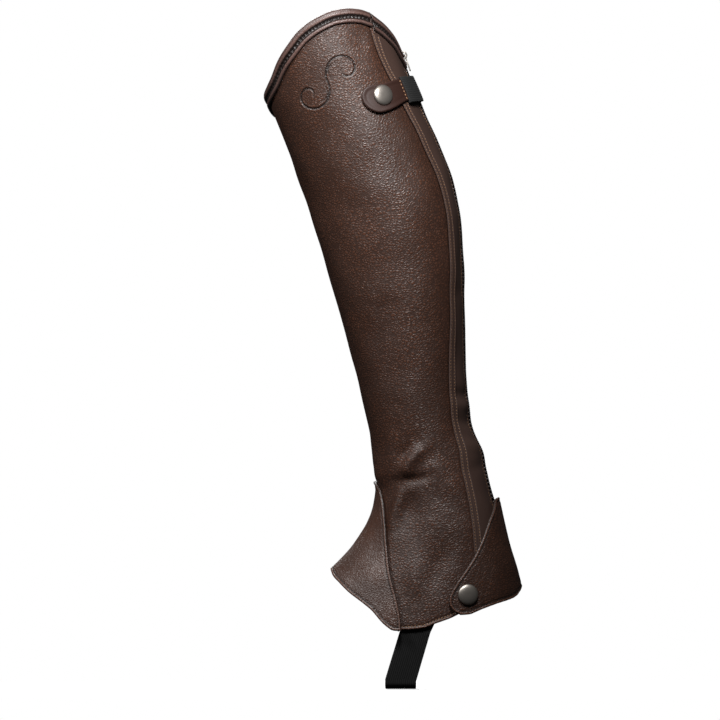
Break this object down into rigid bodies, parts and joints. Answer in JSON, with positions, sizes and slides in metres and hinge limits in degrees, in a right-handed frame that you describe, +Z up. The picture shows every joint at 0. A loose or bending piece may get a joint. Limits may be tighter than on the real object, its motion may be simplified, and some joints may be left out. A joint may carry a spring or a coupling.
{
  "type": "leather half chap",
  "caption": "Left half chap in pebbled brown leather, standing in its worn form: shaped top edge, back zip, elastic closing tab, instep tongue, snapped heel flap and elastic foot strap.",
  "frame": {"origin": "middle of the calf at the height of the closing tab's snap, where the wearer's calf holds the chap", "axes": "+Z up the leg, +X towards the heel, -Y towards the outer side of the left leg"},
  "size_m": [0.2, 0.1144, 0.5273],
  "materials": {
    "grain_leather": "pebbled brown leather with a soft sheen",
    "smooth_leather": "smooth brown leather",
    "oxblood_leather": "polished dark oxblood leather",
    "black_elastic": "black ribbed elastic webbing",
    "zip_teeth": "dark brown moulded teeth",
    "zip_tape": "dark brown woven tape",
    "old_nickel": "old nickel plate, satin"
  },
  "bodies": {
    "chap": {"outer_panel": "grain_leather", "inner_panel": "smooth_leather", "back_strip_outer": "smooth_leather", "back_strip_inner": "smooth_leather", "back_seam_outer": "smooth_leather", "back_seam_inner": "smooth_leather", "top_binding": "smooth_leather", "strip_binding_outer": "smooth_leather", "strip_binding_inner": "smooth_leather", "instep_piece": "grain_leather", "heel_flap": "grain_leather", "heel_snap": "old_nickel", "closing_tab": "oxblood_leather", "tab_elastic": "black_elastic", "tab_snap": "old_nickel", "foot_strap": "black_elastic", "zip_tape": "zip_tape", "zip_chain": "zip_teeth", "zip_slider": "old_nickel"},
    "pull": {"zip_pull": "old_nickel"}
  },
  "joints": [
    {"name": "zip_pull_swing", "type": "hinge", "parent": "chap", "child": "pull", "pos_m": [0.04871, 0, 0.03194], "axis": [0, -1, 0], "range_deg": [0, 160]}
  ]
}
